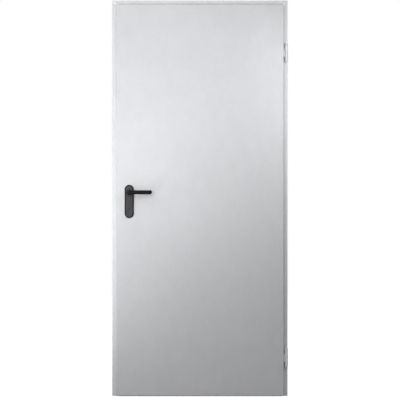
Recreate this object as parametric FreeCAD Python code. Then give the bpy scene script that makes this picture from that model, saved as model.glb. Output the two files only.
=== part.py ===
import FreeCAD, Part
import math
import os

# Steel utility door in a folded corner frame, drawn closed, in millimetres.
# X runs to the right seen from the pull side, Y to the push side and Z up.
# The origin is the centre of the floor rail's underside, at floor level.

V = FreeCAD.Vector

# Frame section. u runs inwards from the frame's outer edge, v back from its face.
FRAME_WIDTH = 910.0
FRAME_HEIGHT = 2050.0
FRAME_DEPTH = 75.0
FRAME_SHEET = 1.5
FACE_WIDTH = 30.0
OUTER_RETURN = 15.0
REBATE_DEPTH = 29.0
STOP_WIDTH = 15.0
BACK_RETURN = 15.0
SHEET_BEND = 1.0

# Floor rail between the jambs' feet
RAIL_HEIGHT = 20.0
RAIL_SCREW_SPACING = 500.0
RAIL_SCREW_HOLE = 7.0

# Wall anchors behind the reveal
ANCHOR_SHEET = 2.0
ANCHOR_WIDTH = 30.0
ANCHOR_HEIGHT = 40.0
ANCHOR_ABOVE_FLOOR = 250.0
ANCHOR_BELOW_TOP = 250.0
DOWEL_HOLE = 11.0

# Seal on the stop
SEAL_THICKNESS = 3.5
SEAL_WIDTH = 9.0
SEAL_EDGE = 2.0
SEAL_SHOULDER = 1.2

# Leaf: a hollow body with a thin rebate lip on three sides
LIP_REVEAL = 22.0
LIP_THICKNESS = 14.5
LIP_CLEARANCE = 5.0
LEAF_THICKNESS = 40.0
LEAF_BOTTOM = 5.0
REBATE_GAP = 6.0
SKIN = 1.0
SKIN_EDGE = 2.0
SKIN_CORNER = 3.0
HEM_CLEARANCE = 0.5

# Hinges
HINGE_ABOVE_FLOOR = 200.0
HINGE_BELOW_TOP = 272.0
HINGE_HEIGHT = 97.0
HINGE_DIAMETER = 16.0
HINGE_OVERHANG = 1.5
HINGE_STAND_OFF = 11.0
PIN_DIAMETER = 9.0
PIN_CAP = 1.5
PIN_CAP_DIAMETER = 12.0
PIN_CAP_EDGE = 0.9
FRAME_KNUCKLE = 22.0
BEARING_RING = 3.0
LOWER_WASHER = 1.5
BEARING_DIAMETER = 17.0
RUNNING_GAP = 0.2
BORE_CLEARANCE = 0.05
HINGE_WEB = 6.0
STRAP_THICKNESS = 3.0
PAD_THICKNESS = 2.5
PAD_WIDTH = 11.0
PAD_SHORT = 2.0

# Lock
BACKSET = 54.0
SPINDLE_LEVEL = 1055.0
KEY_SPACING = 72.0
SPINDLE_SQUARE = 8.0
SPINDLE_HOLE = 20.0
LOCK_CENTRE = 9.0
FOREND_WIDTH = 18.0
FOREND_LENGTH = 235.0
FOREND_THICKNESS = 3.0
CASE_HEIGHT = 165.0
CASE_LENGTH = 85.0
CASE_THICKNESS = 15.0
CASE_SHEET = 1.2
CASE_BELOW_SPINDLE = 27.5
BOLT_WIDTH = 9.0
LATCH_HEIGHT = 22.0
LATCH_ABOVE_SPINDLE = 10.0
LATCH_LENGTH = 24.0
LATCH_BEVEL = 7.0
DEAD_BOLT_HEIGHT = 34.0
DEAD_BOLT_BELOW_SPINDLE = 55.0
DEAD_BOLT_LENGTH = 30.0
STRIKE_CLEARANCE = 1.0
STRIKE_HEIGHT = 150.0
STRIKE_WIDTH = 24.0
STRIKE_THICKNESS = 2.0

# Handle plates and key inserts
PLATE_WIDTH = 47.0
PLATE_LENGTH = 172.0
PLATE_ABOVE_SPINDLE = 39.0
PLATE_THICKNESS = 9.0
PLATE_BEVEL = 4.0
PLATE_RIM = 4.0
PLATE_FACE = 3.0
COLLAR_DIAMETER = 26.0
COLLAR_RISE = 1.5
SCREW_ABOVE_SPINDLE = 28.0
SCREW_BELOW_SPINDLE = 119.0
SCREW_DIAMETER = 5.0
SCREW_BITE = 1.0
SCREW_HEAD = 9.0
SCREW_HEAD_RISE = 1.5
SCREW_HEAD_EDGE = 0.9
SCREW_SLOT = 1.2
BOSS_DIAMETER = 10.0
CASE_SCREW_HOLE = 7.0
INSERT_WIDTH = 17.0
INSERT_LOBE = 10.0
INSERT_HEIGHT = 33.0
INSERT_RISE = 1.0
KEYHOLE_EYE = 5.5
KEYHOLE_SLOT = 3.2
KEYHOLE_EYE_BELOW = 9.5
KEYHOLE_SLOT_BELOW = 19.5

# Levers
NECK_DIAMETER = 20.0
NECK_CLEARANCE = 0.1
NECK_INSET = 8.0
NECK_EDGE = 4.0
LEVER_REACH = 118.0
LEVER_HEIGHT = 21.0
LEVER_THICKNESS = 13.0
LEVER_PROJECTION = 50.0
LEVER_ROOT = 5.0
LEVER_BEND = 14.0
LEVER_EDGE = 5.0
LEVER_TIP_ROUND = 11.0
LEVER_END_GAP = 6.0
LEVER_END_EDGE = 2.0
SOCKET_DEPTH = 24.5

# How far a cutting block reaches past what it cuts
CUT = 1.0

# Points closer than this lie on the same plane
SAME = 1e-6

# Derived planes and levels
HALF_WIDTH = FRAME_WIDTH / 2
HALF_SHEET = FRAME_SHEET / 2
FACE_Y = -(REBATE_DEPTH + FRAME_DEPTH) / 2
REVEAL = FACE_WIDTH + STOP_WIDTH
LEAF_FRONT = -LIP_CLEARANCE - LIP_THICKNESS
LEAF_BACK = LEAF_FRONT + LEAF_THICKNESS
LIP_BACK = -LIP_CLEARANCE
LIP_X = HALF_WIDTH - LIP_REVEAL
LIP_TOP = FRAME_HEIGHT - LIP_REVEAL
BODY_X = HALF_WIDTH - FACE_WIDTH - REBATE_GAP
BODY_TOP = FRAME_HEIGHT - FACE_WIDTH - REBATE_GAP
LOCK_X = -BODY_X
SPINDLE_X = LOCK_X + BACKSET
KEY_LEVEL = SPINDLE_LEVEL - KEY_SPACING
CASE_CENTRE = SPINDLE_LEVEL - CASE_BELOW_SPINDLE
LATCH_LEVEL = SPINDLE_LEVEL + LATCH_ABOVE_SPINDLE
DEAD_BOLT_LEVEL = SPINDLE_LEVEL - DEAD_BOLT_BELOW_SPINDLE
SCREW_LEVELS = (SPINDLE_LEVEL + SCREW_ABOVE_SPINDLE, SPINDLE_LEVEL - SCREW_BELOW_SPINDLE)
PLATE_TOP = SPINDLE_LEVEL + PLATE_ABOVE_SPINDLE
PLATE_BOTTOM = PLATE_TOP - PLATE_LENGTH
LEAF_MIDDLE = (LEAF_FRONT + LEAF_BACK) / 2
HINGE_X = HALF_WIDTH + HINGE_OVERHANG - HINGE_DIAMETER / 2
HINGE_Y = FACE_Y - HINGE_STAND_OFF
HINGE_LEVELS = {"upper": FRAME_HEIGHT - HINGE_BELOW_TOP, "lower": HINGE_ABOVE_FLOOR}
LEAF_KNUCKLE = (
    HINGE_HEIGHT
    - 2 * (PIN_CAP + FRAME_KNUCKLE + RUNNING_GAP)
    - BEARING_RING
    - LOWER_WASHER
)
ANCHOR_LEVELS = {
    "bottom": ANCHOR_ABOVE_FLOOR,
    "middle": (ANCHOR_ABOVE_FLOOR + FRAME_HEIGHT - ANCHOR_BELOW_TOP) / 2,
    "top": FRAME_HEIGHT - ANCHOR_BELOW_TOP,
}


def box(x0, x1, v0, v1, z0, z1):
    """A block between two x planes, two depths v behind the frame's face and two levels."""
    return Part.makeBox(x1 - x0, v1 - v0, z1 - z0, V(x0, FACE_Y + v0, z0))


def rod(radius, x, z, v0, v1):
    """A round bar along Y between two depths."""
    return Part.makeCylinder(radius, v1 - v0, V(x, FACE_Y + v0, z), V(0, 1, 0))


def cross_rod(radius, x0, x1, v, z):
    """A round bar along X between two x planes."""
    return Part.makeCylinder(radius, x1 - x0, V(x0, FACE_Y + v, z), V(1, 0, 0))


def prism(points, place, along):
    """Extrude a polygon, its 2-D points placed in space by the function place."""
    corners = [place(*p) for p in points]
    return Part.Face(Part.makePolygon(corners + corners[:1])).extrude(along)


def mirror_x(shape):
    return shape.mirror(V(0, 0, 0), V(1, 0, 0))


def mirror_leaf(shape):
    """Mirror a piece from the leaf's front to its back."""
    return shape.mirror(V(0, FACE_Y + LEAF_MIDDLE, 0), V(0, 1, 0))


def folded(points, sheet, bend, place, along):
    """Fold a sheet along a centre line of square corners and extrude the section.

    points are the centre line's 2-D corners, bend the inside radius, and place
    the function that puts a 2-D point in space.
    """
    pts = [V(a, b, 0) for a, b in points]
    ways = [(q - p).normalize() for p, q in zip(pts, pts[1:])]
    normals = [V(-w.y, w.x, 0) for w in ways]
    middle = bend + sheet / 2
    sides = []
    for side in (1, -1):
        shift = side * sheet / 2
        edges, last = [], pts[0] + normals[0] * shift
        for i in range(1, len(pts) - 1):
            turn = 1 if ways[i - 1].cross(ways[i]).z > 0 else -1
            start = pts[i] - ways[i - 1] * middle
            end = pts[i] + ways[i] * middle
            centre = start + normals[i - 1] * middle * turn
            radius = middle - turn * shift
            start, end = start + normals[i - 1] * shift, end + normals[i] * shift
            crest = centre + (pts[i] - centre).normalize() * radius
            edges += [("line", last, start), ("arc", start, crest, end)]
            last = end
        edges.append(("line", last, pts[-1] + normals[-1] * shift))
        sides.append(edges)
    first, second = sides
    caps = [
        ("line", first[-1][2], second[-1][2]),
        ("line", first[0][1], second[0][1]),
    ]
    made = []
    for kind, *corners in first + second + caps:
        placed = [place(c.x, c.y) for c in corners]
        made.append(
            Part.Arc(*placed).toShape() if kind == "arc" else Part.makeLine(*placed)
        )
    wire = Part.Wire(Part.__sortEdges__(made))
    return Part.Face(wire).extrude(along)


def flat_edges(shape, normal, level):
    """The edges whose ends all lie on one plane, given by its normal and its level."""
    return [
        e
        for e in shape.Edges
        if all(abs(v.Point.dot(normal) - level) < SAME for v in e.Vertexes)
    ]


def rim(shape, v):
    """The edges that lie at one depth v behind the frame's face."""
    return flat_edges(shape, V(0, 1, 0), FACE_Y + v)


def round_corners(block, radius):
    """Round a block's four corners along Y."""
    corners = [
        e
        for e in block.Edges
        if all(
            abs(a - b) < SAME
            for a, b in zip(
                (e.Vertexes[0].X, e.Vertexes[0].Z), (e.Vertexes[1].X, e.Vertexes[1].Z)
            )
        )
    ]
    return block.makeFillet(radius, corners)


def rounded_block(block, v, corner, edge):
    """Round a block's four corners along Y, then the outline of its face at depth v."""
    block = round_corners(block, corner)
    return block.makeFillet(edge, rim(block, v))


def one_solid(shape):
    """The single solid of a fused shape, with its split faces joined."""
    shape = shape.removeSplitter()
    assert len(shape.Solids) == 1, len(shape.Solids)
    return shape.Solids[0]


# The frame's section along the middle of its sheet, as (u, v) corners
FRAME_LINE = [
    (HALF_SHEET, OUTER_RETURN),
    (HALF_SHEET, HALF_SHEET),
    (FACE_WIDTH - HALF_SHEET, HALF_SHEET),
    (FACE_WIDTH - HALF_SHEET, REBATE_DEPTH + HALF_SHEET),
    (REVEAL - HALF_SHEET, REBATE_DEPTH + HALF_SHEET),
    (REVEAL - HALF_SHEET, FRAME_DEPTH - HALF_SHEET),
    (REVEAL - BACK_RETURN, FRAME_DEPTH - HALF_SHEET),
]


def jamb_place(u, v):
    return V(-HALF_WIDTH + u, FACE_Y + v, 0)


def head_place(u, v):
    return V(-HALF_WIDTH, FACE_Y + v, FRAME_HEIGHT - u)


def mitre_wedge(above):
    """The space above or below the 45 degree joint at the lock jamb's top."""
    x0, x1 = -HALF_WIDTH - CUT, -HALF_WIDTH + REVEAL + CUT
    z0, z1 = FRAME_HEIGHT - REVEAL - CUT, FRAME_HEIGHT + CUT
    square = (x1, z1) if above else (x0, z0)

    def place(x, z):
        return V(x, FACE_Y - CUT, z)

    return prism([(x0, z1), (x1, z0), square], place, V(0, FRAME_DEPTH + 2 * CUT, 0))


def mitred_head(head):
    """Cut both ends of a head piece to the jambs' joints."""
    wedge = mitre_wedge(False)
    return one_solid(head.cut(wedge).cut(mirror_x(wedge)))


def plain_jamb():
    jamb = folded(FRAME_LINE, FRAME_SHEET, SHEET_BEND, jamb_place, V(0, 0, FRAME_HEIGHT))
    jamb = jamb.cut(mitre_wedge(True))
    x = -HALF_WIDTH + REVEAL
    for level in ANCHOR_LEVELS.values():
        jamb = jamb.cut(
            cross_rod(DOWEL_HOLE / 2, x - FRAME_SHEET - CUT, x + CUT, -FACE_Y, level)
        )
    return one_solid(jamb)


def anchor(level):
    """U-shaped strap welded behind the reveal, with the wall dowel's hole in its web."""
    half = ANCHOR_SHEET / 2
    front = -FACE_Y - ANCHOR_WIDTH / 2
    back = front + ANCHOR_WIDTH
    reveal = REVEAL - FRAME_SHEET
    line = [
        (reveal, front + half),
        (FACE_WIDTH + half, front + half),
        (FACE_WIDTH + half, back - half),
        (reveal, back - half),
    ]

    def place(u, v):
        return V(-HALF_WIDTH + u, FACE_Y + v, level - ANCHOR_HEIGHT / 2)

    strap = folded(line, ANCHOR_SHEET, SHEET_BEND, place, V(0, 0, ANCHOR_HEIGHT))
    x = -HALF_WIDTH + FACE_WIDTH
    hole = cross_rod(DOWEL_HOLE / 2, x - CUT, x + ANCHOR_SHEET + CUT, -FACE_Y, level)
    return one_solid(strap.cut(hole))


def seal_section(place, along):
    """A flat-backed strip with a rounded lip, lying on the stop."""
    u0 = FACE_WIDTH + SEAL_EDGE
    u1 = u0 + SEAL_WIDTH
    v1 = REBATE_DEPTH
    v0 = v1 - SEAL_THICKNESS
    shoulder = v1 - SEAL_SHOULDER
    edges = [
        Part.makeLine(place(u1, shoulder), place(u1, v1)),
        Part.makeLine(place(u1, v1), place(u0, v1)),
        Part.makeLine(place(u0, v1), place(u0, shoulder)),
        Part.Arc(
            place(u0, shoulder), place((u0 + u1) / 2, v0), place(u1, shoulder)
        ).toShape(),
    ]
    return Part.Face(Part.Wire(Part.__sortEdges__(edges))).extrude(along)


def strike_openings(x0, x1):
    """The latch and dead bolt openings, cut between two x planes of the lock jamb."""
    half = BOLT_WIDTH / 2 + STRIKE_CLEARANCE
    openings = []
    for level, height in (
        (LATCH_LEVEL, LATCH_HEIGHT),
        (DEAD_BOLT_LEVEL, DEAD_BOLT_HEIGHT),
    ):
        reach = height / 2 + STRIKE_CLEARANCE
        openings.append(
            box(x0, x1, LOCK_CENTRE - half, LOCK_CENTRE + half, level - reach, level + reach)
        )
    return openings


def strike_plate():
    """Plate with both bolt openings, fixed behind the rebate of the lock jamb."""
    x1 = -HALF_WIDTH + FACE_WIDTH - FRAME_SHEET
    x0 = x1 - STRIKE_THICKNESS
    v0 = FRAME_SHEET + SHEET_BEND
    z0 = CASE_CENTRE - STRIKE_HEIGHT / 2
    plate = box(x0, x1, v0, v0 + STRIKE_WIDTH, z0, z0 + STRIKE_HEIGHT)
    for opening in strike_openings(x0 - CUT, x1 + CUT):
        plate = plate.cut(opening)
    return one_solid(plate)


def floor_rail():
    """Angle between the jambs' feet: a low stop behind the leaf and a foot on the floor."""
    line = [
        (REBATE_DEPTH + HALF_SHEET, RAIL_HEIGHT),
        (REBATE_DEPTH + HALF_SHEET, HALF_SHEET),
        (FRAME_DEPTH, HALF_SHEET),
    ]
    x0 = -HALF_WIDTH + REVEAL
    length = FRAME_WIDTH - 2 * REVEAL

    def place(v, z):
        return V(x0, FACE_Y + v, z)

    rail = folded(line, FRAME_SHEET, SHEET_BEND, place, V(length, 0, 0))
    for side in (-1, 1):
        at = V(side * RAIL_SCREW_SPACING / 2, 0, -CUT)
        hole = Part.makeCylinder(RAIL_SCREW_HOLE / 2, FRAME_SHEET + 2 * CUT, at)
        rail = rail.cut(hole)
    return one_solid(rail)


def tube(outer, inner, z0, z1):
    """A round sleeve on the hinge axis."""
    at = V(HINGE_X, HINGE_Y, z0)
    return Part.makeCylinder(outer, z1 - z0, at).cut(
        Part.makeCylinder(inner, z1 - z0, at)
    )


def hinge(level):
    """The pieces of one three-part hinge, by name."""
    bottom = level - HINGE_HEIGHT / 2 + PIN_CAP
    top = level + HINGE_HEIGHT / 2 - PIN_CAP
    outer, pin = HINGE_DIAMETER / 2, PIN_DIAMETER / 2
    lower = (bottom, bottom + FRAME_KNUCKLE)
    upper = (top - FRAME_KNUCKLE, top)
    pieces = {}
    for name, (z0, z1) in (("bottom_knuckle", lower), ("top_knuckle", upper)):
        web = Part.makeBox(
            HINGE_WEB,
            HINGE_STAND_OFF,
            z1 - z0,
            V(HINGE_X - HINGE_WEB / 2, HINGE_Y, z0),
        )
        knuckle = Part.makeCylinder(outer, z1 - z0, V(HINGE_X, HINGE_Y, z0)).fuse(web)
        bore = Part.makeCylinder(pin, z1 - z0, V(HINGE_X, HINGE_Y, z0))
        pieces[name] = one_solid(knuckle.cut(bore))
    washer = tube(BEARING_DIAMETER / 2, pin, lower[1], lower[1] + LOWER_WASHER)
    ring = tube(BEARING_DIAMETER / 2, pin, upper[0] - BEARING_RING, upper[0])
    pieces["washer"] = washer
    pieces["bearing"] = ring
    shaft = Part.makeCylinder(pin, top - bottom, V(HINGE_X, HINGE_Y, bottom))
    for z0, end in ((bottom - PIN_CAP, bottom - PIN_CAP), (top, top + PIN_CAP)):
        cap = Part.makeCylinder(PIN_CAP_DIAMETER / 2, PIN_CAP, V(HINGE_X, HINGE_Y, z0))
        cap = cap.makeFillet(PIN_CAP_EDGE, flat_edges(cap, V(0, 0, 1), end))
        shaft = shaft.fuse(cap)
    pieces["pin"] = one_solid(shaft)
    z0 = lower[1] + LOWER_WASHER + RUNNING_GAP
    z1 = z0 + LEAF_KNUCKLE
    knuckle = Part.makeCylinder(outer, z1 - z0, V(HINGE_X, HINGE_Y, z0))
    strap = Part.makeBox(
        HINGE_X - LIP_X - PAD_THICKNESS,
        STRAP_THICKNESS,
        z1 - z0 - 2 * PAD_SHORT,
        V(LIP_X + PAD_THICKNESS, HINGE_Y - STRAP_THICKNESS / 2, z0 + PAD_SHORT),
    )
    pad = Part.makeBox(
        PAD_THICKNESS,
        PAD_WIDTH,
        z1 - z0 - 2 * PAD_SHORT,
        V(LIP_X, HINGE_Y - PAD_WIDTH / 2, z0 + PAD_SHORT),
    )
    bore = Part.makeCylinder(pin + BORE_CLEARANCE, z1 - z0, V(HINGE_X, HINGE_Y, z0))
    pieces["leaf_knuckle"] = one_solid(knuckle.fuse(strap).fuse(pad).cut(bore))
    return pieces


def stadium(x, z0, z1, width, v0, v1):
    """An upright slab with half-round ends."""
    r = width / 2
    slab = box(x - r, x + r, v0, v1, z0 + r, z1 - r)
    return slab.fuse([rod(r, x, z0 + r, v0, v1), rod(r, x, z1 - r, v0, v1)]).removeSplitter()


def key_profile(v0, v1):
    """The round-topped key insert's outline, extruded between two depths."""
    top = KEY_LEVEL + INSERT_WIDTH / 2
    low = top - INSERT_HEIGHT + INSERT_LOBE / 2
    shape = rod(INSERT_WIDTH / 2, SPINDLE_X, KEY_LEVEL, v0, v1)
    shape = shape.fuse(
        [
            box(
                SPINDLE_X - INSERT_LOBE / 2,
                SPINDLE_X + INSERT_LOBE / 2,
                v0,
                v1,
                low,
                KEY_LEVEL,
            ),
            rod(INSERT_LOBE / 2, SPINDLE_X, low, v0, v1),
        ]
    )
    return shape.removeSplitter()


def keyhole(v0, v1):
    """The keyhole: a round eye over a narrow slot."""
    eye = KEY_LEVEL - KEYHOLE_EYE_BELOW
    low = KEY_LEVEL - KEYHOLE_SLOT_BELOW + KEYHOLE_SLOT / 2
    half = KEYHOLE_SLOT / 2
    hole = rod(KEYHOLE_EYE / 2, SPINDLE_X, eye, v0, v1)
    return hole.fuse(
        [
            box(SPINDLE_X - half, SPINDLE_X + half, v0, v1, low, eye),
            rod(half, SPINDLE_X, low, v0, v1),
        ]
    ).removeSplitter()


def skin_holes(v0, v1):
    """What passes through either skin: the spindle, the key insert and the plate screws."""
    holes = [rod(SPINDLE_HOLE / 2, SPINDLE_X, SPINDLE_LEVEL, v0, v1), key_profile(v0, v1)]
    holes += [rod(SCREW_DIAMETER / 2, SPINDLE_X, z, v0, v1) for z in SCREW_LEVELS]
    return holes


def leaf_front_skin():
    """Front panel, folded round the lip and hemmed behind it on three sides."""
    outer = box(-LIP_X, LIP_X, LEAF_FRONT, LIP_BACK, LEAF_BOTTOM, LIP_TOP)
    outer = rounded_block(outer, LEAF_FRONT, SKIN_CORNER, SKIN_EDGE)
    inner = box(
        -LIP_X + SKIN,
        LIP_X - SKIN,
        LEAF_FRONT + SKIN,
        LIP_BACK - SKIN,
        LEAF_BOTTOM + SKIN,
        LIP_TOP - SKIN,
    )
    inner = rounded_block(
        inner, LEAF_FRONT + SKIN, SKIN_CORNER - SKIN, SKIN_EDGE - SKIN
    )
    mouth = box(
        -BODY_X, BODY_X, LIP_BACK - SKIN, LIP_BACK + CUT, LEAF_BOTTOM - CUT, BODY_TOP
    )
    skin = outer.cut(inner).cut(mouth)
    for hole in skin_holes(LEAF_FRONT - CUT, LEAF_FRONT + SKIN + CUT):
        skin = skin.cut(hole)
    return one_solid(skin)


def leaf_back_skin():
    """Back tray with a flange held in the front skin's hem, and the lock's cut-outs."""
    seam = LIP_BACK - SKIN
    outer = box(-BODY_X, BODY_X, seam, LEAF_BACK, LEAF_BOTTOM, BODY_TOP)
    outer = rounded_block(outer, LEAF_BACK, SKIN_CORNER, SKIN_EDGE)
    inner = box(
        -BODY_X + SKIN,
        BODY_X - SKIN,
        seam,
        LEAF_BACK - SKIN,
        LEAF_BOTTOM + SKIN,
        BODY_TOP - SKIN,
    )
    inner = rounded_block(
        inner, LEAF_BACK - SKIN, SKIN_CORNER - SKIN, SKIN_EDGE - SKIN
    )
    reach = SKIN + HEM_CLEARANCE
    flange = box(
        -LIP_X + reach, LIP_X - reach, seam - SKIN, seam, LEAF_BOTTOM + SKIN, LIP_TOP - reach
    )
    well = box(
        -BODY_X + SKIN,
        BODY_X - SKIN,
        seam - SKIN,
        seam,
        LEAF_BOTTOM + SKIN,
        BODY_TOP - SKIN,
    )
    skin = outer.cut(inner).fuse(flange.cut(well))
    for hole in skin_holes(LEAF_BACK - SKIN - CUT, LEAF_BACK + CUT):
        skin = skin.cut(hole)
    return one_solid(skin.cut(forend_blank()))


def forend_blank():
    """The forend's outline as a slab with half-round ends, flush with the lock edge."""
    r = FOREND_WIDTH / 2
    x0, x1 = LOCK_X, LOCK_X + FOREND_THICKNESS
    z0, z1 = CASE_CENTRE - FOREND_LENGTH / 2, CASE_CENTRE + FOREND_LENGTH / 2
    slab = box(x0, x1, LOCK_CENTRE - r, LOCK_CENTRE + r, z0 + r, z1 - r)
    ends = [cross_rod(r, x0, x1, LOCK_CENTRE, z) for z in (z0 + r, z1 - r)]
    return slab.fuse(ends).removeSplitter()


def bolt_block(level, height, length):
    """A latch or dead bolt, drawn back until its nose is flush with the forend."""
    half = BOLT_WIDTH / 2
    return box(
        LOCK_X,
        LOCK_X + length,
        LOCK_CENTRE - half,
        LOCK_CENTRE + half,
        level - height / 2,
        level + height / 2,
    )


def latch():
    block = bolt_block(LATCH_LEVEL, LATCH_HEIGHT, LATCH_LENGTH)
    back = LOCK_CENTRE + BOLT_WIDTH / 2

    def place(x, v):
        return V(LOCK_X + x, FACE_Y + v, LATCH_LEVEL - LATCH_HEIGHT)

    slope = prism(
        [(-CUT, back - LATCH_BEVEL - CUT), (-CUT, back + CUT), (LATCH_BEVEL + CUT, back + CUT)],
        place,
        V(0, 0, 2 * LATCH_HEIGHT),
    )
    return one_solid(block.cut(slope))


def forend():
    plate = forend_blank()
    plate = plate.cut(bolt_block(LATCH_LEVEL, LATCH_HEIGHT, LATCH_LENGTH))
    plate = plate.cut(bolt_block(DEAD_BOLT_LEVEL, DEAD_BOLT_HEIGHT, DEAD_BOLT_LENGTH))
    return one_solid(plate)


def lock_case():
    """The lock's hollow sheet case inside the leaf."""
    x0 = LOCK_X + FOREND_THICKNESS
    v0 = LOCK_CENTRE - CASE_THICKNESS / 2
    v1 = v0 + CASE_THICKNESS
    z0, z1 = CASE_CENTRE - CASE_HEIGHT / 2, CASE_CENTRE + CASE_HEIGHT / 2
    case = box(x0, x0 + CASE_LENGTH, v0, v1, z0, z1)
    t = CASE_SHEET
    case = case.cut(box(x0 + t, x0 + CASE_LENGTH - t, v0 + t, v1 - t, z0 + t, z1 - t))
    cuts = [
        bolt_block(LATCH_LEVEL, LATCH_HEIGHT, LATCH_LENGTH),
        bolt_block(DEAD_BOLT_LEVEL, DEAD_BOLT_HEIGHT, DEAD_BOLT_LENGTH),
        rod(SPINDLE_HOLE / 2, SPINDLE_X, SPINDLE_LEVEL, v0 - CUT, v1 + CUT),
        keyhole(v0 - CUT, v1 + CUT),
        rod(CASE_SCREW_HOLE / 2, SPINDLE_X, SCREW_LEVELS[0], v0 - CUT, v1 + CUT),
    ]
    for piece in cuts:
        case = case.cut(piece)
    return one_solid(case)


def handle_plate(through):
    """Front cover plate. The screw bosses are blind, or open where through is set."""
    base, face = LEAF_FRONT, LEAF_FRONT - PLATE_THICKNESS
    plate = stadium(SPINDLE_X, PLATE_BOTTOM, PLATE_TOP, PLATE_WIDTH, face, base)
    plate = plate.makeChamfer(PLATE_BEVEL, rim(plate, face))
    plate = plate.cut(
        stadium(
            SPINDLE_X,
            PLATE_BOTTOM + PLATE_RIM,
            PLATE_TOP - PLATE_RIM,
            PLATE_WIDTH - 2 * PLATE_RIM,
            face + PLATE_FACE,
            base,
        )
    )
    collar = rod(
        COLLAR_DIAMETER / 2, SPINDLE_X, SPINDLE_LEVEL, face - COLLAR_RISE, base
    )
    plate = plate.fuse(collar)
    for level in SCREW_LEVELS:
        plate = plate.fuse(
            rod(BOSS_DIAMETER / 2, SPINDLE_X, level, face + PLATE_FACE / 2, base)
        )
    plate = plate.cut(
        rod(
            NECK_DIAMETER / 2 + NECK_CLEARANCE,
            SPINDLE_X,
            SPINDLE_LEVEL,
            face - COLLAR_RISE - CUT,
            base,
        )
    )
    plate = plate.cut(key_profile(face - CUT, base))
    depth = face - CUT if through else face + PLATE_FACE - SCREW_BITE
    for level in SCREW_LEVELS:
        plate = plate.cut(rod(SCREW_DIAMETER / 2, SPINDLE_X, level, depth, base))
    return one_solid(plate)


def handle_screws():
    """Two through screws, their heads on the back plate."""
    end = LEAF_FRONT - PLATE_THICKNESS + PLATE_FACE - SCREW_BITE
    seat = LEAF_BACK + PLATE_THICKNESS
    screws = []
    for level in SCREW_LEVELS:
        shank = rod(SCREW_DIAMETER / 2, SPINDLE_X, level, end, seat)
        head = rod(SCREW_HEAD / 2, SPINDLE_X, level, seat, seat + SCREW_HEAD_RISE)
        head = head.makeFillet(SCREW_HEAD_EDGE, rim(head, seat + SCREW_HEAD_RISE))
        slot = box(
            SPINDLE_X - SCREW_HEAD,
            SPINDLE_X + SCREW_HEAD,
            seat + SCREW_HEAD_RISE / 2,
            seat + SCREW_HEAD_RISE + CUT,
            level - SCREW_SLOT / 2,
            level + SCREW_SLOT / 2,
        )
        screws.append(one_solid(shank.fuse(head).cut(slot)))
    return Part.makeCompound(screws)


def key_insert():
    """The front key insert, from the cover plate to the lock case."""
    face = LEAF_FRONT - PLATE_THICKNESS - INSERT_RISE
    back = LOCK_CENTRE - CASE_THICKNESS / 2
    return one_solid(key_profile(face, back).cut(keyhole(face - CUT, back + CUT)))


def back_key_insert():
    """The back key insert, from the lock case to the back cover plate."""
    front = LOCK_CENTRE + CASE_THICKNESS / 2
    face = LEAF_BACK + PLATE_THICKNESS + INSERT_RISE
    return one_solid(key_profile(front, face).cut(keyhole(front - CUT, face + CUT)))


def lever():
    """Front lever: a round neck, a bend, a flat grip and a return towards the leaf."""
    half_h, half_t = LEVER_HEIGHT / 2, LEVER_THICKNESS / 2
    plate_v = LEAF_FRONT - PLATE_THICKNESS
    arm_v = plate_v - LEVER_PROJECTION + half_t
    near, far = SPINDLE_X, SPINDLE_X + LEVER_REACH - half_t
    root_v, end_v = plate_v - LEVER_ROOT, plate_v - LEVER_END_GAP

    def at(x, v):
        return V(x, FACE_Y + v, SPINDLE_LEVEL)

    lean = LEVER_BEND * (1 - math.sqrt(0.5))
    path = Part.Wire(
        [
            Part.makeLine(at(near, root_v), at(near, arm_v + LEVER_BEND)),
            Part.Arc(
                at(near, arm_v + LEVER_BEND),
                at(near + lean, arm_v + lean),
                at(near + LEVER_BEND, arm_v),
            ).toShape(),
            Part.makeLine(at(near + LEVER_BEND, arm_v), at(far - LEVER_BEND, arm_v)),
            Part.Arc(
                at(far - LEVER_BEND, arm_v),
                at(far - lean, arm_v + lean),
                at(far, arm_v + LEVER_BEND),
            ).toShape(),
            Part.makeLine(at(far, arm_v + LEVER_BEND), at(far, end_v)),
        ]
    )
    section = box(
        near - half_t,
        near + half_t,
        root_v - CUT,
        root_v,
        SPINDLE_LEVEL - half_h,
        SPINDLE_LEVEL + half_h,
    )
    outline = Part.Wire(Part.__sortEdges__(rim(round_corners(section, LEVER_EDGE), root_v)))
    grip = path.makePipeShell([outline], True, False)
    grip = grip.makeFillet(LEVER_END_EDGE, rim(grip, end_v))
    tip_x, tip_z, r = SPINDLE_X + LEVER_REACH, SPINDLE_LEVEL - half_h, LEVER_TIP_ROUND
    front = arm_v - half_t - CUT
    corner = box(tip_x - r, tip_x + CUT, front, plate_v, tip_z - CUT, tip_z + r)
    grip = grip.cut(corner.cut(rod(r, tip_x - r, tip_z + r, front, plate_v)))
    neck_v = arm_v + LEVER_BEND
    neck = rod(NECK_DIAMETER / 2, SPINDLE_X, SPINDLE_LEVEL, neck_v, plate_v + NECK_INSET)
    neck = neck.makeFillet(NECK_EDGE, rim(neck, neck_v))
    half = SPINDLE_SQUARE / 2
    socket = box(
        SPINDLE_X - half,
        SPINDLE_X + half,
        plate_v + NECK_INSET - SOCKET_DEPTH,
        plate_v + NECK_INSET + CUT,
        SPINDLE_LEVEL - half,
        SPINDLE_LEVEL + half,
    )
    return one_solid(grip.fuse(neck).cut(socket))


def spindle():
    """The square bar that joins both levers through the lock."""
    half = SPINDLE_SQUARE / 2
    front = LEAF_FRONT - PLATE_THICKNESS + NECK_INSET - SOCKET_DEPTH
    return box(
        SPINDLE_X - half,
        SPINDLE_X + half,
        front,
        2 * LEAF_MIDDLE - front,
        SPINDLE_LEVEL - half,
        SPINDLE_LEVEL + half,
    )


parts = {}

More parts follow.
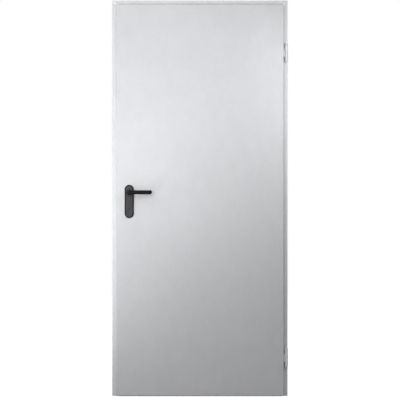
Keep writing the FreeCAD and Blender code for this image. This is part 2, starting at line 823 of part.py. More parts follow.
jamb = plain_jamb()
parts["frame_jamb_hinge"] = mirror_x(jamb)
lock_jamb = jamb
wall_x = -HALF_WIDTH + FACE_WIDTH
for opening in strike_openings(wall_x - FRAME_SHEET - CUT, wall_x + CUT):
    lock_jamb = lock_jamb.cut(opening)
parts["frame_jamb_lock"] = one_solid(lock_jamb)

head = folded(FRAME_LINE, FRAME_SHEET, SHEET_BEND, head_place, V(FRAME_WIDTH, 0, 0))
parts["frame_head"] = mitred_head(head)
parts["floor_rail"] = floor_rail()
parts["strike_plate"] = strike_plate()

for name, level in ANCHOR_LEVELS.items():
    strap = anchor(level)
    parts["wall_anchor_lock_" + name] = strap
    parts["wall_anchor_hinge_" + name] = mirror_x(strap)

seal = seal_section(jamb_place, V(0, 0, FRAME_HEIGHT)).cut(mitre_wedge(True))
parts["frame_seal_lock"] = one_solid(seal)
parts["frame_seal_hinge"] = mirror_x(parts["frame_seal_lock"])
parts["frame_seal_head"] = mitred_head(seal_section(head_place, V(FRAME_WIDTH, 0, 0)))

for where, level in HINGE_LEVELS.items():
    for piece, shape in hinge(level).items():
        parts["hinge_" + where + "_" + piece] = shape

parts["leaf_front_skin"] = leaf_front_skin()
parts["leaf_back_skin"] = leaf_back_skin()
parts["lock_case"] = lock_case()
parts["lock_forend"] = forend()
parts["latch_bolt"] = latch()
parts["dead_bolt"] = bolt_block(DEAD_BOLT_LEVEL, DEAD_BOLT_HEIGHT, DEAD_BOLT_LENGTH)
parts["handle_plate_front"] = handle_plate(False)
parts["handle_plate_back"] = mirror_leaf(handle_plate(True))
parts["handle_screws"] = handle_screws()
parts["key_insert_front"] = key_insert()
parts["key_insert_back"] = back_key_insert()

front_lever = lever()
parts["lever_front"] = front_lever
parts["lever_back"] = mirror_leaf(front_lever)
parts["spindle"] = spindle()

os.makedirs("parts", exist_ok=True)
for name, shape in parts.items():
    shape.exportStep("parts/" + name + ".step")
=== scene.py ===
import logging
import math
from collections.abc import Iterable
from dataclasses import dataclass
from enum import Enum

import bmesh
import bpy
from mathutils import Matrix, Vector


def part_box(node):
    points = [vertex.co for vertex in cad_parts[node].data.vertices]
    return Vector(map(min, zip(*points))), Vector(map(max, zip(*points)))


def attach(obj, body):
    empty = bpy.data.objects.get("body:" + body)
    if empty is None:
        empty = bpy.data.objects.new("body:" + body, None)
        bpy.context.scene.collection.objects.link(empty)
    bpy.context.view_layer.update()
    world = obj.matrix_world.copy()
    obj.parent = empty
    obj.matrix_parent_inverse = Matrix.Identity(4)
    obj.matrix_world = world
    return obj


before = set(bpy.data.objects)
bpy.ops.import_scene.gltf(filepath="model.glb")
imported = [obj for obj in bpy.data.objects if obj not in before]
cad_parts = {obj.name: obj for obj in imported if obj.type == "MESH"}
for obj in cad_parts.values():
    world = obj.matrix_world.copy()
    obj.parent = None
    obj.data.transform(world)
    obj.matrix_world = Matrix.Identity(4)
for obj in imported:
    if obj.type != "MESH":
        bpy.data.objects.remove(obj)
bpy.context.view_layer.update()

log = logging.getLogger("steel_door")

Socket = bpy.types.NodeSocket
Shape = bmesh.types.BMesh
Corner = bmesh.types.BMVert
Face = bmesh.types.BMFace
Number = float | Socket
Span = tuple[float, float]
Triple = tuple[float, float, float]
Colour = Triple

MM = 0.001
WHITE: Colour = (1.0, 1.0, 1.0)
EVEN: Triple = (1.0, 1.0, 1.0)
RISING: Span = (0.0, 1.0)
FALLING: Span = (1.0, 0.0)
# Faces that meet at a steeper angle keep a sharp edge between them.
CREASE = math.radians(40)
ROUND_SEGMENTS = 24
LEVEL_DIGITS = 7


class Body(Enum):
    """The bodies that the scene's own pieces ride on."""

    FRAME = "frame"
    LEAF = "leaf"


class Slot(Enum):
    """The record's material slot names; the scene's own pieces are not given any of them."""

    FRAME_SHEET = "frame_sheet"
    BRACKET_SHEET = "bracket_sheet"
    HINGE_STEEL = "hinge_steel"
    LOCK_STEEL = "lock_steel"


class Wiring:
    """Adds nodes to one node tree and joins them."""

    def __init__(self, tree: bpy.types.NodeTree) -> None:
        """Keep the tree that the nodes go into."""
        self.tree = tree

    def plug(self, socket: Socket, value: object) -> None:
        """Fill an input.

        Args:
            socket: The input's socket.
            value: A value, or the socket to link it to.
        """
        if isinstance(value, Socket):
            self.tree.links.new(value, socket)
        else:
            socket.default_value = value

    def add(self, kind: str, inputs: dict | None = None, **settings: object) -> bpy.types.Node:
        """Add a node.

        Args:
            kind: The node's Blender type.
            inputs: What goes into its sockets, by name or number: a value or another socket.
            settings: The node's own properties.

        Returns:
            The new node.
        """
        node = self.tree.nodes.new(kind)
        for key, value in settings.items():
            setattr(node, key, value)
        for key, value in (inputs or {}).items():
            self.plug(node.inputs[key], value)
        return node

    def calc(self, operation: str, *values: Number) -> Socket:
        """Work out one number.

        Args:
            operation: The Math node's operation.
            values: Its inputs in order.

        Returns:
            The result's socket.
        """
        node = self.add("ShaderNodeMath", dict(enumerate(values)), operation=operation)
        return node.outputs[0]

    def spread(self, value: Number, span: Span, onto: Span = RISING) -> Socket:
        """Map a number from one span onto another, smoothly and within its ends.

        Args:
            value: The number.
            span: Where its span starts and ends.
            onto: What comes out at the start and at the end.

        Returns:
            The mapped number's socket.
        """
        ends = dict(zip(("From Min", "From Max", "To Min", "To Max"), (*span, *onto)))
        sockets = {"Value": value, **ends}
        return self.add("ShaderNodeMapRange", sockets, interpolation_type="SMOOTHSTEP").outputs[0]

    def blend(self, factor: Number, first: object, second: object) -> Socket:
        """Mix two colours.

        Args:
            factor: The second colour's share.
            first: A colour or its socket.
            second: A colour or its socket.

        Returns:
            The mixed colour's socket.
        """
        sides = {0: factor, 6: _rgba(first), 7: _rgba(second)}
        return self.add("ShaderNodeMix", sides, data_type="RGBA").outputs[2]

    def shift(self, tone: Number, swing: float, centre: float) -> Socket:
        """Turn a tone round one half into a number round a centre.

        Args:
            tone: The tone, from 0 to 1.
            swing: How far the number moves from the centre at either end.
            centre: The number at one half.

        Returns:
            The number's socket.
        """
        return self.calc("MULTIPLY_ADD", tone, 2 * swing, centre - swing)


def _rgba(colour: object) -> object:
    """A colour with its fourth channel, or anything else as it is."""
    return (*colour, 1.0) if isinstance(colour, tuple) else colour


class Effects:
    """The shader node groups that the finishes share, each built once."""

    TONE_SPAN: Span = (0.28, 0.72)
    RIDGE_SPAN: Span = (0.0, 0.12)
    TURN_SPAN: Span = (0.9, 0.998)
    TURN_SAMPLES = 4
    WEAR_SPAN: Span = (0.35, 0.6)
    WEAR_SHARE: Span = (0.25, 1.0)
    UPWARD_SPAN: Span = (0.35, 0.95)
    DUST_SCALE = 90.0
    DUST_SPAN: Span = (0.3, 0.7)
    DUST_SHARE: Span = (0.4, 1.0)

    def __init__(self) -> None:
        """Build every group."""
        self.crystals = self._crystals()
        self.rolling = self._rolling()
        self.clouds = self._clouds()
        self.grain = self._grain()
        self.edges = self._edges()
        self.dust = self._dust()

    @staticmethod
    def _group(
        name: str, inputs: dict[str, float], outputs: tuple[str, ...]
    ) -> tuple[Wiring, dict, dict]:
        """Start a node group.

        Args:
            name: The group's name.
            inputs: Its number inputs with their usual values.
            outputs: Its number outputs.

        Returns:
            Its wiring, its inputs' sockets by name and its outputs' sockets by name.
        """
        tree = bpy.data.node_groups.new(name, "ShaderNodeTree")
        for key, value in inputs.items():
            socket = tree.interface.new_socket(key, in_out="INPUT", socket_type="NodeSocketFloat")
            socket.default_value = value
        for key in outputs:
            tree.interface.new_socket(key, in_out="OUTPUT", socket_type="NodeSocketFloat")
        wiring = Wiring(tree)
        start, end = wiring.add("NodeGroupInput"), wiring.add("NodeGroupOutput")
        given = {key: start.outputs[key] for key in inputs}
        made = {key: end.inputs[key] for key in outputs}
        return wiring, given, made

    @staticmethod
    def _place(wiring: Wiring, stretch: Triple = EVEN) -> Socket:
        """The object's own coordinates.

        Args:
            wiring: The group's wiring.
            stretch: How closely the pattern repeats along each axis.

        Returns:
            The stretched coordinates' socket.
        """
        own = wiring.add("ShaderNodeTexCoord").outputs["Object"]
        return wiring.add("ShaderNodeMapping", {"Vector": own, "Scale": stretch}).outputs[0]

    def _speckle(
        self, wiring: Wiring, density: Number, detail: float, stretch: Triple = EVEN
    ) -> Socket:
        """A noise over the object's own coordinates.

        Args:
            wiring: The group's wiring.
            density: How many of its waves a metre holds.
            detail: How many finer layers it has.
            stretch: How closely it repeats along each axis.

        Returns:
            The noise's socket.
        """
        own = self._place(wiring, stretch)
        sockets = {"Vector": own, "Scale": density, "Detail": detail}
        return wiring.add("ShaderNodeTexNoise", sockets).outputs[0]

    def _crystals(self) -> bpy.types.NodeTree:
        """Zinc spangle: flat crystals, each with its own tone, and a low ridge between them."""
        usual = {"Size": 0.008, "Warp": 0.6}
        wiring, given, made = self._group("Zinc crystals", usual, ("Tone", "Ridge"))
        own = self._place(wiring)
        density = wiring.calc("DIVIDE", 1.0, given["Size"])
        wander = wiring.add("ShaderNodeTexNoise", {"Vector": own, "Scale": density, "Detail": 2.0})
        reach = wiring.calc("MULTIPLY", given["Size"], given["Warp"])
        offset = wiring.add(
            "ShaderNodeVectorMath", {0: wander.outputs["Color"], "Scale": reach}, operation="SCALE"
        )
        moved = wiring.add("ShaderNodeVectorMath", {0: own, 1: offset.outputs[0]}, operation="ADD")
        pattern = {"Vector": moved.outputs[0], "Scale": density}
        cells = wiring.add("ShaderNodeTexVoronoi", pattern)
        walls = wiring.add("ShaderNodeTexVoronoi", pattern, feature="DISTANCE_TO_EDGE")
        tone = wiring.add("ShaderNodeSeparateColor", {0: cells.outputs["Color"]}).outputs[0]
        ridge = wiring.spread(walls.outputs["Distance"], self.RIDGE_SPAN, FALLING)
        wiring.plug(made["Tone"], tone)
        wiring.plug(made["Ridge"], ridge)
        return wiring.tree

    def _noise(self, name: str, stretch: Triple, detail: float) -> bpy.types.NodeTree:
        """A soft noise tone round one half.

        Args:
            name: The group's name.
            stretch: How closely the noise repeats along each axis.
            detail: How many finer layers it has.

        Returns:
            The group, with a Size input and a Tone output.
        """
        wiring, given, made = self._group(name, {"Size": 0.05}, ("Tone",))
        density = wiring.calc("DIVIDE", 1.0, given["Size"])
        noise = self._speckle(wiring, density, detail, stretch)
        wiring.plug(made["Tone"], wiring.spread(noise, self.TONE_SPAN))
        return wiring.tree

    def _rolling(self) -> bpy.types.NodeTree:
        """The mill's long faint streaks, along the height of the sheet."""
        return self._noise("Rolling streaks", stretch=(1.0, 1.0, 0.035), detail=3.0)

    def _clouds(self) -> bpy.types.NodeTree:
        """Cloudy patches, a little taller than wide."""
        return self._noise("Clouds", stretch=(1.0, 1.0, 0.7), detail=4.0)

    def _grain(self) -> bpy.types.NodeTree:
        """The even fine grain of a moulded or machined surface."""
        return self._noise("Fine grain", stretch=EVEN, detail=1.0)

    def _edges(self) -> bpy.types.NodeTree:
        """Where a surface turns sharply, broken up by a fine noise."""
        usual = {"Reach": 0.001, "Patchiness": 0.01}
        wiring, given, made = self._group("Edge wear", usual, ("Mask",))
        rounded = wiring.add(
            "ShaderNodeBevel", {"Radius": given["Reach"]}, samples=self.TURN_SAMPLES
        ).outputs[0]
        flat = wiring.add("ShaderNodeNewGeometry").outputs["Normal"]
        agree = wiring.add("ShaderNodeVectorMath", {0: rounded, 1: flat}, operation="DOT_PRODUCT")
        turn = wiring.spread(agree.outputs["Value"], self.TURN_SPAN, FALLING)
        density = wiring.calc("DIVIDE", 1.0, given["Patchiness"])
        noise = self._speckle(wiring, density, detail=3.0)
        patchy = wiring.spread(noise, self.WEAR_SPAN, self.WEAR_SHARE)
        wiring.plug(made["Mask"], wiring.calc("MULTIPLY", turn, patchy))
        return wiring.tree

    def _dust(self) -> bpy.types.NodeTree:
        """A thin uneven film on what faces up."""
        wiring, given, made = self._group("Settled dust", {"Amount": 0.5}, ("Mask",))
        normal = wiring.add("ShaderNodeTexCoord").outputs["Normal"]
        upward = wiring.add("ShaderNodeSeparateXYZ", {0: normal}).outputs["Z"]
        facing = wiring.spread(upward, self.UPWARD_SPAN)
        noise = self._speckle(wiring, self.DUST_SCALE, detail=4.0)
        patchy = wiring.spread(noise, self.DUST_SPAN, self.DUST_SHARE)
        film = wiring.calc("MULTIPLY", facing, patchy)
        wiring.plug(made["Mask"], wiring.calc("MULTIPLY", film, given["Amount"]))
        return wiring.tree


class Surface:
    """One material in the making: its shader, and the effects placed in it."""

    def __init__(self, name: str) -> None:
        """Start an empty material with a Principled shader.

        Args:
            name: The material's name.
        """
        self.material = bpy.data.materials.new(name)
        self.material.use_nodes = True
        self.wiring = Wiring(self.material.node_tree)
        self.shader = self.material.node_tree.nodes["Principled BSDF"]

    def effect(self, group: bpy.types.NodeTree, **values: float) -> bpy.types.Node:
        """Place a shared effect.

        Args:
            group: The effect's node group.
            values: Its inputs, by name.

        Returns:
            The group node.
        """
        return self.wiring.add("ShaderNodeGroup", values, node_tree=group)

    def feed(self, **sockets: Number | Colour) -> None:
        """Fill the shader's sockets.

        Args:
            sockets: Values or sockets by the shader's socket names, with _ for a space.
        """
        for key, value in sockets.items():
            self.wiring.plug(self.shader.inputs[key.replace("_", " ")], _rgba(value))

    def bump(self, height: Socket, distance: float, strength: float = 1.0) -> None:
        """Raise the surface in small relief.

        Args:
            height: The height's socket, from 0 to 1.
            distance: How far 1 stands up, in metres.
            strength: How much of it shows.
        """
        relief = {"Height": height, "Distance": distance, "Strength": strength}
        self.feed(Normal=self.wiring.add("ShaderNodeBump", relief).outputs[0])


@dataclass(frozen=True)
class ZincSheet:
    """Galvanised sheet: fine spangle, broad and small clouds, and the mill's faint streaks."""

    name: str
    light: Colour = (0.603, 0.607, 0.625)
    dark: Colour = (0.543, 0.548, 0.567)
    metallic: float = 0.12
    metallic_swing: float = 0.05
    roughness: float = 0.42
    roughness_swing: float = -0.05
    crystal: float = 5 * MM
    crystal_share: float = 0.42
    streak: float = 9 * MM
    streak_share: float = 0.06
    cloud: float = 0.28
    cloud_share: float = 0.24
    patch: float = 0.06
    patch_share: float = 0.28
    bright_edge: Colour = (0.72, 0.73, 0.74)
    edge_share: float = 0.4
    edge_reach: float = 1.2 * MM
    edge_patch: float = 14 * MM
    ridge_share: float = 0.03
    warp: float = 0.3 * MM

    def material(self, effects: Effects) -> bpy.types.Material:
        """Build the finish.

        Args:
            effects: The shared node groups.

        Returns:
            The material.
        """
        surface = Surface(self.name)
        wiring = surface.wiring
        crystals = surface.effect(effects.crystals, Size=self.crystal)
        streaks = surface.effect(effects.rolling, Size=self.streak).outputs["Tone"]
        clouds = surface.effect(effects.clouds, Size=self.cloud).outputs["Tone"]
        patches = surface.effect(effects.clouds, Size=self.patch).outputs["Tone"]
        worn = surface.effect(
            effects.edges, Reach=self.edge_reach, Patchiness=self.edge_patch
        ).outputs["Mask"]
        tone = wiring.calc("MULTIPLY", crystals.outputs["Tone"], self.crystal_share)
        for layer, share in (
            (streaks, self.streak_share),
            (clouds, self.cloud_share),
            (patches, self.patch_share),
        ):
            tone = wiring.calc("MULTIPLY_ADD", layer, share, tone)
        colour = wiring.blend(tone, self.dark, self.light)
        bright = wiring.calc("MULTIPLY", worn, self.edge_share)
        surface.feed(
            Base_Color=wiring.blend(bright, colour, self.bright_edge),
            Metallic=wiring.shift(crystals.outputs["Tone"], self.metallic_swing, self.metallic),
            Roughness=wiring.shift(tone, self.roughness_swing, self.roughness),
        )
        ridge = crystals.outputs["Ridge"]
        surface.bump(wiring.calc("MULTIPLY_ADD", ridge, self.ridge_share, clouds), self.warp)
        return surface.material


@dataclass(frozen=True)
class TurnedSteel:
    """Zinc-plated steel with a fine machined grain and rubbed edges."""

    name: str
    colour: Colour
    shade: Colour
    metallic: float
    roughness: float
    roughness_swing: float = 0.06
    grain: float = 0.5 * MM
    grain_share: float = 0.4
    grain_depth: float = 0.02 * MM
    grain_relief: float = 0.3
    cloud: float = 9 * MM
    cloud_share: float = 0.6
    rubbed: Colour = (0.72, 0.72, 0.72)
    rubbed_share: float = 0.35
    edge_reach: float = 0.5 * MM
    edge_patch: float = 4 * MM

    def material(self, effects: Effects) -> bpy.types.Material:
        """Build the finish.

        Args:
            effects: The shared node groups.

        Returns:
            The material.
        """
        surface = Surface(self.name)
        wiring = surface.wiring
        grain = surface.effect(effects.grain, Size=self.grain).outputs["Tone"]
        clouds = surface.effect(effects.clouds, Size=self.cloud).outputs["Tone"]
        worn = surface.effect(
            effects.edges, Reach=self.edge_reach, Patchiness=self.edge_patch
        ).outputs["Mask"]
        tone = wiring.calc("MULTIPLY", clouds, self.cloud_share)
        tone = wiring.calc("MULTIPLY_ADD", grain, self.grain_share, tone)
        colour = wiring.blend(tone, self.shade, self.colour)
        bright = wiring.calc("MULTIPLY", worn, self.rubbed_share)
        surface.feed(
            Base_Color=wiring.blend(bright, colour, self.rubbed),
            Metallic=self.metallic,
            Roughness=wiring.shift(clouds, self.roughness_swing, self.roughness),
        )
        surface.bump(grain, self.grain_depth, self.grain_relief)
        return surface.material


@dataclass(frozen=True)
class MouldedNylon:
    """Black moulded plastic: fine satin grain, rubbed edges, sides painted darker as shade, and a
    little dust.
    """

    name: str
    face: Colour
    # The side colour is painted shade: it shows where the surface turns away from the front or the
    # back.
    side: Colour
    roughness: float
    gloss: float
    roughness_swing: float = 0.05
    unshaded_face_span: Span = (0.72, 0.97)
    grain: float = 0.7 * MM
    grain_depth: float = 0.04 * MM
    grain_relief: float = 0.35
    cloud: float = 30 * MM
    cloud_share: float = 0.25
    rubbed: Colour = (0.10, 0.10, 0.105)
    rubbed_share: float = 0.2
    edge_reach: float = 0.8 * MM
    edge_patch: float = 5 * MM
    dust: float = 0.06
    dust_colour: Colour = (0.32, 0.31, 0.30)

    def unshaded_face(self, wiring: Wiring) -> Socket:
        """1 where the piece faces straight to the front or the back, 0 on its sides, where the
        side colour paints shade.
        """
        normal = wiring.add("ShaderNodeTexCoord").outputs["Normal"]
        across = wiring.add("ShaderNodeSeparateXYZ", {0: normal}).outputs["Y"]
        return wiring.spread(wiring.calc("ABSOLUTE", across), self.unshaded_face_span)

    def material(self, effects: Effects) -> bpy.types.Material:
        """Build the finish.

        Args:
            effects: The shared node groups.

        Returns:
            The material.
        """
        surface = Surface(self.name)
        wiring = surface.wiring
        grain = surface.effect(effects.grain, Size=self.grain).outputs["Tone"]
        clouds = surface.effect(effects.clouds, Size=self.cloud).outputs["Tone"]
        worn = surface.effect(
            effects.edges, Reach=self.edge_reach, Patchiness=self.edge_patch
        ).outputs["Mask"]
        dust = surface.effect(effects.dust, Amount=self.dust).outputs["Mask"]
        # Painted shade: the sides take the darker side colour.
        colour = wiring.blend(self.unshaded_face(wiring), self.side, self.face)
        for layer, share, over in (
            (clouds, self.cloud_share, self.side),
            (worn, self.rubbed_share, self.rubbed),
        ):
            colour = wiring.blend(wiring.calc("MULTIPLY", layer, share), colour, over)
        surface.feed(
            Base_Color=wiring.blend(dust, colour, self.dust_colour),
            Roughness=wiring.shift(clouds, self.roughness_swing, self.roughness),
            Specular_IOR_Level=self.gloss,
        )
        surface.bump(grain, self.grain_depth, self.grain_relief)
        return surface.material


@dataclass(frozen=True)
class PlateNylon(MouldedNylon):
    """The cover plates' nylon: a satin face, with painted shade on its rim and its collar."""

    centre: tuple[float, float] = (-365 * MM, 1008 * MM)
    spindle: float = 1055 * MM
    half_straight: float = 62.5 * MM
    # Painted shade: the rim and the collar round the spindle take the dark side colour.
    rim: Span = (16.5 * MM, 18.5 * MM)
    collar: Span = (13.2 * MM, 14.6 * MM)

    def _from_middle(self, wiring: Wiring, level: float, straight: float) -> Socket:
        """How far a point of the plate lies from an upright line on its middle.

        Args:
            wiring: The material's wiring.
            level: The line's middle.
            straight: Half of the line's length.

        Returns:
            The distance's socket.
        """
        place = wiring.add("ShaderNodeTexCoord").outputs["Object"]
        own = wiring.add("ShaderNodeSeparateXYZ", {0: place})
        across = wiring.calc("SUBTRACT", own.outputs["X"], self.centre[0])
        beyond = wiring.calc("ABSOLUTE", wiring.calc("SUBTRACT", own.outputs["Z"], level))
        beyond = wiring.calc("MAXIMUM", wiring.calc("SUBTRACT", beyond, straight), 0.0)
        flat = wiring.add("ShaderNodeCombineXYZ", {"X": across, "Z": beyond}).outputs[0]
        return wiring.add("ShaderNodeVectorMath", {0: flat}, operation="LENGTH").outputs["Value"]

    def unshaded_face(self, wiring: Wiring) -> Socket:
        """1 on the plate's face, 0 on its rim, its sides and its collar, where shade is painted.
        """
        face = super().unshaded_face(wiring)
        outline = self._from_middle(wiring, self.centre[1], self.half_straight)
        hub = self._from_middle(wiring, self.spindle, 0.0)
        inside = wiring.spread(outline, self.rim, FALLING)
        outside = wiring.spread(hub, self.collar)
        return wiring.calc("MULTIPLY", face, wiring.calc("MULTIPLY", inside, outside))


@dataclass(frozen=True)
class SealRubber:
    """Black rubber, dull, with a powdery bloom."""

    name: str
    colour: Colour = (0.022, 0.022, 0.024)
    bloom: Colour = (0.06, 0.06, 0.062)
    roughness: float = 0.72
    roughness_swing: float = 0.08
    grain: float = 0.6 * MM
    grain_depth: float = 0.03 * MM
    grain_relief: float = 0.4
    cloud: float = 40 * MM

    def material(self, effects: Effects) -> bpy.types.Material:
        """Build the finish.

        Args:
            effects: The shared node groups.

        Returns:
            The material.
        """
        surface = Surface(self.name)
        wiring = surface.wiring
        grain = surface.effect(effects.grain, Size=self.grain).outputs["Tone"]
        clouds = surface.effect(effects.clouds, Size=self.cloud).outputs["Tone"]
        surface.feed(
            Base_Color=wiring.blend(clouds, self.colour, self.bloom),
            Roughness=wiring.shift(clouds, self.roughness_swing, self.roughness),
        )
        surface.bump(grain, self.grain_depth, self.grain_relief)
        return surface.material


@dataclass(frozen=True)
class FloorCoat:
    """The studio's pale floor, white to the camera and to mirrors where nothing shades it."""

    name: str
    pale: Colour = (0.26, 0.26, 0.26)
    mottle: Colour = (0.28, 0.28, 0.28)
    mottle_scale: float = 3.0
    roughness: float = 0.9
    gloss: float = 0.1
    reach: Span = (0.6, 2.2)
    lift: Span = (0.88, 1.0)
    contact: float = 0.06
    contact_samples: int = 6
    open_span: Span = (0.0, 0.4)
    open_lift: Span = (0.22, 1.0)

    def material(self) -> bpy.types.Material:
        """Build the floor's material.

        Returns:
            The material.
        """
        surface = Surface(self.name)
        wiring = surface.wiring
        own = wiring.add("ShaderNodeTexCoord").outputs["Object"]
        noise = wiring.add("ShaderNodeTexNoise", {"Vector": own, "Scale": self.mottle_scale})
        away = wiring.add("ShaderNodeVectorMath", {0: own}, operation="LENGTH").outputs["Value"]
        lift = wiring.spread(away, self.reach, self.lift)
        open_sky = wiring.add(
            "ShaderNodeAmbientOcclusion", {"Distance": self.contact}, samples=self.contact_samples
        )
        unshaded = wiring.spread(open_sky.outputs["AO"], self.open_span, self.open_lift)
        white = wiring.calc("MULTIPLY", lift, unshaded)
        surface.feed(
            Base_Color=wiring.blend(noise.outputs[0], self.pale, self.mottle),
            Roughness=self.roughness,
            Specular_IOR_Level=self.gloss,
            Emission_Color=WHITE,
            Emission_Strength=wiring.calc("MULTIPLY", Studio.seen_directly(wiring), white),
        )
        return surface.material


def dress(node: str, material: bpy.types.Material) -> None:
    """Give a carried-over node its finish.

    Args:
        node: The node's name.
        material: The finish.
    """
    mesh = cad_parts[node].data
    mesh.materials.clear()
    mesh.materials.append(material)


def add_piece(
    name: str, shape: Shape, material: bpy.types.Material, body: Body
) -> None:
    """Turn a finished shape into a piece that rides on a body.

    Args:
        name: The piece's name.
        shape: The shape, in place; it is freed.
        material: Its finish.
        body: The body it moves with.
    """
    mesh = bpy.data.meshes.new(name)
    shape.to_mesh(mesh)
    shape.free()
    for polygon in mesh.polygons:
        polygon.use_smooth = True
    mesh.set_sharp_from_angle(angle=CREASE)
    mesh.materials.append(material)
    piece = bpy.data.objects.new(name, mesh)
    bpy.context.scene.collection.objects.link(piece)
    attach(piece, body.value)
    log.info("%s: %d faces on the %s", name, len(mesh.polygons), body.value)


def extrude(shape: Shape, faces: list[Face], way: Vector) -> tuple[list[Corner], list[Face]]:
    """Extrude faces, without leaving the old ones inside, and move their new ends.

    Args:
        shape: The shape.
        faces: Its faces to extrude.
        way: How far the new ends move.

    Returns:
        The new ends' corners and the new ends.
    """
    edges = list(dict.fromkeys(edge for face in faces for edge in face.edges))
    made = bmesh.ops.extrude_face_region(shape, geom=faces + edges)["geom"]
    corners = [part for part in made if isinstance(part, Corner)]
    bmesh.ops.translate(shape, vec=way, verts=corners)
    return corners, [part for part in made if isinstance(part, Face)]


def bevel(shape: Shape, edges: Iterable[bmesh.types.BMEdge], width: float, steps: int) -> None:
    """Round edges off.

    Args:
        shape: The shape.
        edges: Its edges to round.
        width: How far the rounding reaches from each edge.
        steps: How many faces make it.
    """
    bmesh.ops.bevel(
        shape, geom=list(edges), offset=width, segments=steps, affect="EDGES",
        profile=0.5, material=-1,
    )


def round_head(radius: float, rise: float, rounding: float, steps: int) -> tuple[Shape, Face]:
    """Start a round head that lies on the origin and faces up.

    Args:
        radius: Its radius.
        rise: Its height.
        rounding: How far its upper edge is rounded.
        steps: How many faces make the rounding.

    Returns:
        The head as a closed shape, and its flat top.
    """
    head = bmesh.new()
    bmesh.ops.create_circle(head, cap_ends=True, segments=ROUND_SEGMENTS, radius=radius)
    _, (face,) = extrude(head, list(head.faces), Vector((0, 0, rise)))
    bevel(head, face.edges, rounding, steps)
    level = {f: round(f.calc_center_median().z, LEVEL_DIGITS) for f in head.faces}
    return head, max(head.faces, key=lambda f: (level[f], f.calc_area()))


def stand(shape: Shape, place: Vector, way: Vector) -> None:
    """Move a shape that faces up at the origin to its place.

    Args:
        shape: The shape.
        place: Where its origin goes.
        way: Where its top faces.
    """
    turn = way.to_track_quat("Z", "Y").to_matrix()
    bmesh.ops.rotate(shape, cent=Vector(), matrix=turn, verts=shape.verts)
    bmesh.ops.translate(shape, vec=place, verts=shape.verts)


@dataclass
class WeldBead:
    """A rippled weld bead along a straight joint."""

    radius: float = 1.5 * MM
    pitch: float = 2.0 * MM
    ripple: float = 0.14
    tip: float = 0.5
    segments: int = 10

    def shape(self, start: Vector, end: Vector) -> Shape:
        """Model the bead.

        Args:
            start: Where it begins, on the joint.
            end: Where it stops.

        Returns:
            The bead as a closed shape.
        """
        line = end - start
        steps = max(2, round(line.length / self.pitch)) * 2
        bead = bmesh.new()
        bmesh.ops.create_circle(
            bead, cap_ends=True, segments=self.segments, radius=self.radius * self.tip
        )
        stand(bead, start, line)
        cap, size = list(bead.faces), self.tip
        for step in range(1, steps + 1):
            ring, cap = extrude(bead, cap, line / steps)
            wanted = self.tip if step == steps else 1.0 + self.ripple * (-1) ** step
            centre = Matrix.Translation(-(start + line * step / steps))
            bmesh.ops.scale(bead, vec=Vector((wanted / size,) * 3), space=centre, verts=ring)
            size = wanted
        bmesh.ops.recalc_face_normals(bead, faces=bead.faces)
        return bead


@dataclass
class GroundWeld:
    """A weld ground down to a low strip with round ends."""

    width: float = 5.5 * MM
    rise: float = 0.3 * MM
    root: float = 0.3 * MM
    rounding: float = 0.9

    def shape(self, start: Vector, end: Vector, out: Vector) -> Shape:
        """Model the strip.

        Args:
            start: Where its middle line begins, on the sheet.
            end: Where it stops.
            out: The way the sheet faces.

        Returns:
            The strip as a closed shape.
        """
        strip = bmesh.new()
        made = bmesh.ops.create_circle(
            strip, cap_ends=True, segments=ROUND_SEGMENTS, radius=self.width / 2
        )
        far = [v for v in made["verts"] if v.co.x > MM * MM]
        bmesh.ops.translate(strip, vec=((end - start).length, 0, 0), verts=far)
        bmesh.ops.translate(strip, vec=(0, 0, -self.root), verts=strip.verts)
        _, (face,) = extrude(strip, list(strip.faces), Vector((0, 0, self.root + self.rise)))
        bevel(strip, face.edges, self.rise * self.rounding, steps=2)
        bmesh.ops.recalc_face_normals(strip, faces=strip.faces)
        along = (end - start).normalized()
        turn = Matrix((along, out.cross(along), out)).transposed()
        bmesh.ops.rotate(strip, cent=Vector(), matrix=turn, verts=strip.verts)
        bmesh.ops.translate(strip, vec=start, verts=strip.verts)
        return strip


@dataclass
class RivetHead:
    """A blind rivet's low dome with the hole its pin left."""

    radius: float = 3.2 * MM
    rise: float = 1.0 * MM
    rounding: float = 0.9
    pin: float = 0.9 * MM
    depth: float = 0.5 * MM

    def shape(self, centre: Vector, way: Vector) -> Shape:
        """Model the head.

        Args:
            centre: The middle of its seat.
            way: Where it faces.

        Returns:
            The head as a closed shape.
        """
        rounding = self.rise * self.rounding
        head, top = round_head(self.radius, self.rise, rounding, steps=4)
        bmesh.ops.inset_region(head, faces=[top], thickness=self.radius - rounding - self.pin)
        extrude(head, [top], Vector((0, 0, -self.depth)))
        bmesh.ops.recalc_face_normals(head, faces=head.faces)
        stand(head, centre, way)
        return head


